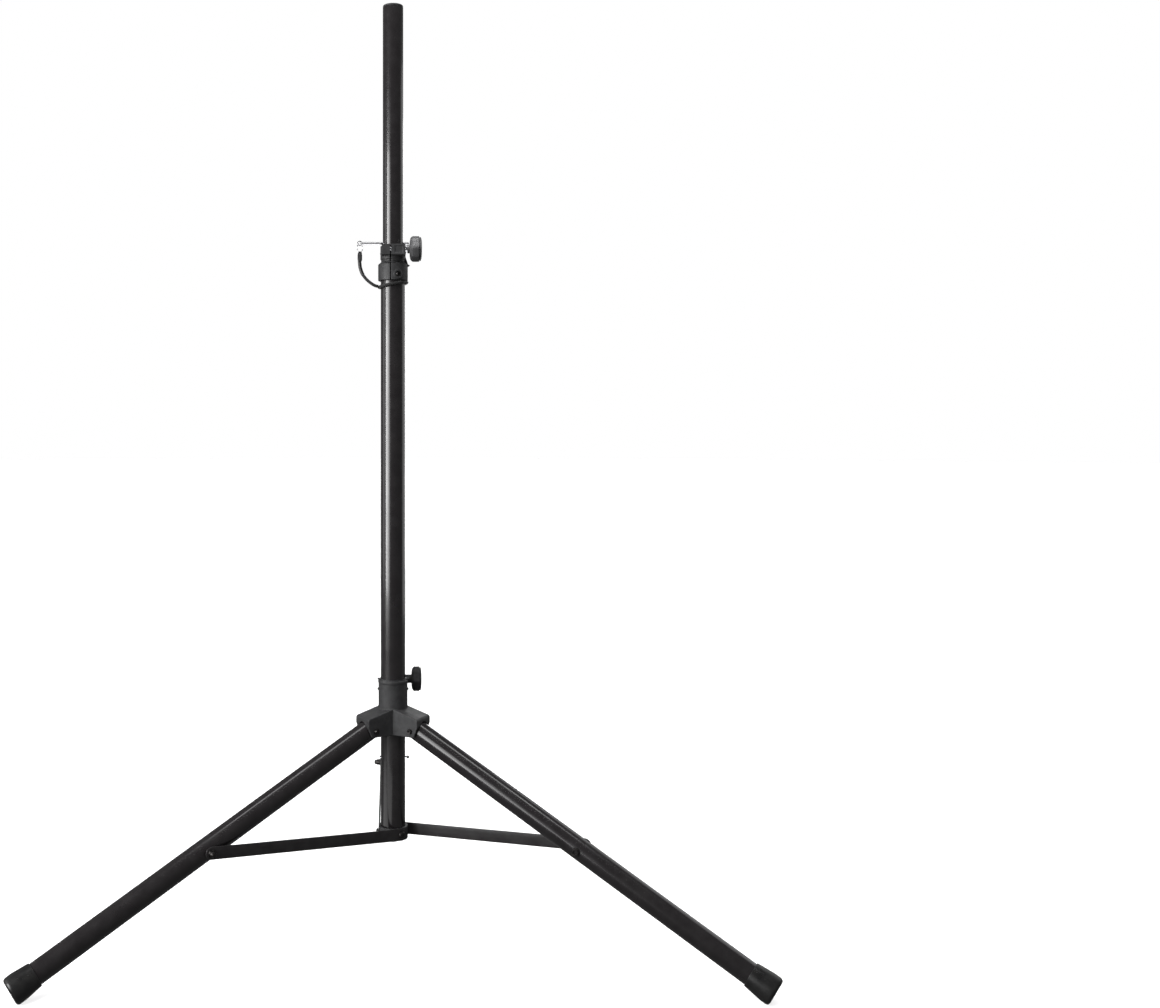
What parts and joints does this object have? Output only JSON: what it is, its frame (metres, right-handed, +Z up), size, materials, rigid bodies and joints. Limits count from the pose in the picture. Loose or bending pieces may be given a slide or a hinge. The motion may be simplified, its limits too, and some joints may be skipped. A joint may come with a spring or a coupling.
{
  "type": "loudspeaker tripod stand",
  "caption": "Folding tripod stand for a loudspeaker: telescoping pole with a safety pin, sliding leg hub, braced tube legs, rubber feet and clamp knobs.",
  "frame": {"origin": "on the floor, under the middle of the open stand's outline", "axes": "+Z up along the column, +X towards the side the clamp knobs point to, +Y towards the rear leg"},
  "size_m": [1.1436, 0.996, 1.567],
  "materials": {
    "tube_paint": "gloss",
    "brace_paint": "satin",
    "moulding": "matte",
    "grip": "matte",
    "rubber": "matte",
    "tether_cord": "matte",
    "black_steel": "satin",
    "chrome": "polished"
  },
  "bodies": {
    "column": {"main_tube": "tube_paint", "stop_pin": "chrome", "stop_cap": "black_steel", "mast_bush": "moulding", "collar": "moulding", "collar_screw": "black_steel", "collar_nut": "black_steel", "collar_washer": "chrome", "foot_bracket": "moulding", "tether_loop": "tether_cord", "tether_strap": "tether_cord", "bracket_rivet_rear": "black_steel", "bracket_rivet_left": "black_steel", "bracket_rivet_right": "black_steel"},
    "mast": {"mast_tube": "tube_paint", "mast_top_plug": "moulding", "mast_bottom_guide": "moulding"},
    "pin": {"safety_pin": "chrome", "pin_ring": "chrome", "tether_fold": "tether_cord"},
    "upper_knob": {"upper_knob": "grip", "upper_knob_bolt": "black_steel"},
    "hub": {"leg_hub": "moulding", "hub_bush": "moulding", "hub_clamp_nut": "black_steel", "pivot_bolt_rear": "black_steel", "pivot_nut_rear": "black_steel", "pivot_bolt_left": "black_steel", "pivot_nut_left": "black_steel", "pivot_bolt_right": "black_steel", "pivot_nut_right": "black_steel"},
    "lower_knob": {"lower_knob": "grip", "lower_knob_bolt": "black_steel"},
    "leg_rear": {"leg_tube_rear": "tube_paint", "foot_cap_rear": "rubber", "brace_bolt_rear": "black_steel", "brace_spacer_rear": "moulding"},
    "brace_rear": {"brace_rear": "brace_paint", "brace_nut_rear": "black_steel"},
    "leg_left": {"leg_tube_left": "tube_paint", "foot_cap_left": "rubber", "brace_bolt_left": "black_steel", "brace_spacer_left": "moulding"},
    "brace_left": {"brace_left": "brace_paint", "brace_nut_left": "black_steel"},
    "leg_right": {"leg_tube_right": "tube_paint", "foot_cap_right": "rubber", "brace_bolt_right": "black_steel", "brace_spacer_right": "moulding"},
    "brace_right": {"brace_right": "brace_paint", "brace_nut_right": "black_steel"}
  },
  "joints": [
    {"name": "hub_slide", "type": "slide", "parent": "column", "child": "hub", "axis": [0, 0, 1], "range_m": [0, 0.4895]},
    {"name": "mast_slide", "type": "slide", "parent": "column", "child": "mast", "axis": [0, 0, 1], "range_m": [0, 0.28]},
    {"name": "pin_slide", "type": "slide", "parent": "mast", "child": "pin", "axis": [-1, 0, 0], "range_m": [0, 0.05], "deforming": ["tether_strap"]},
    {"name": "upper_knob_turn", "type": "hinge", "parent": "column", "child": "upper_knob", "pos_m": [0.037, -0.17868, 1.146], "axis": [1, 0, 0], "range_deg": [0, 720]},
    {"name": "lower_knob_turn", "type": "hinge", "parent": "hub", "child": "lower_knob", "pos_m": [0.039, -0.12417, 0.405], "axis": [1, 0, 0], "range_deg": [0, 720]},
    {"name": "leg_rear_fold", "type": "hinge", "parent": "hub", "child": "leg_rear", "pos_m": [0, -0.10917, 0.33044], "axis": [-1, 0, 0], "range_deg": [0, 58.6]},
    {"name": "brace_rear_fold", "type": "hinge", "parent": "column", "child": "brace_rear", "pos_m": [-0.02365, -0.15718, 0.149], "axis": [1, 0, 0], "range_deg": [0, 73.65]},
    {"name": "leg_left_fold", "type": "hinge", "parent": "hub", "child": "leg_left", "pos_m": [-0.03897, -0.17667, 0.33044], "axis": [0.5, -0.866, 0], "range_deg": [0, 58.6]},
    {"name": "brace_left_fold", "type": "hinge", "parent": "column", "child": "brace_left", "pos_m": [0.01442, -0.17316, 0.149], "axis": [-0.5, 0.866, 0], "range_deg": [0, 73.65]},
    {"name": "leg_right_fold", "type": "hinge", "parent": "hub", "child": "leg_right", "pos_m": [0.03897, -0.17667, 0.33044], "axis": [0.5, 0.866, 0], "range_deg": [0, 58.6]},
    {"name": "brace_right_fold", "type": "hinge", "parent": "column", "child": "brace_right", "pos_m": [0.00923, -0.13219, 0.149], "axis": [-0.5, -0.866, 0], "range_deg": [0, 73.65]}
  ],
  "couplings": [
    {"joint": "leg_rear_fold", "follows": "hub_slide", "rad_per_m": 2.0858},
    {"joint": "brace_rear_fold", "follows": "hub_slide", "rad_per_m": 2.6226},
    {"joint": "leg_left_fold", "follows": "hub_slide", "rad_per_m": 2.0858},
    {"joint": "brace_left_fold", "follows": "hub_slide", "rad_per_m": 2.6226},
    {"joint": "leg_right_fold", "follows": "hub_slide", "rad_per_m": 2.0858},
    {"joint": "brace_right_fold", "follows": "hub_slide", "rad_per_m": 2.6226}
  ]
}
